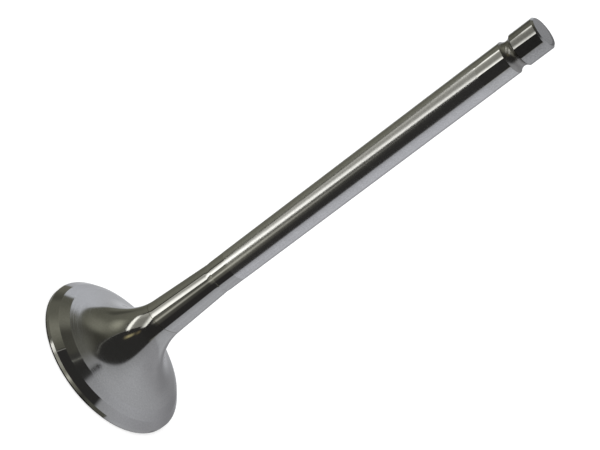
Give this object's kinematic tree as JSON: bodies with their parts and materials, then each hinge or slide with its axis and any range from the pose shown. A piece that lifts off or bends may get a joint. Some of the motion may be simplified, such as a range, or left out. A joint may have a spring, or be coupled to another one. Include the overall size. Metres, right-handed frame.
{
  "type": "engine poppet valve",
  "caption": "Poppet valve of a car engine: flat round head with margin, angled seat and tulip back, long ground stem and a round keeper groove near the tip.",
  "frame": {"origin": "centre of the flat combustion face of the head", "axes": "+Z along the stem from the combustion face to the tip; the valve is a body of revolution about Z"},
  "size_m": [0.031, 0.031, 0.1001],
  "materials": {
    "valve_steel": "polished and hard-plated steel"
  },
  "bodies": {
    "root": {"valve": "valve_steel"}
  },
  "joints": []
}
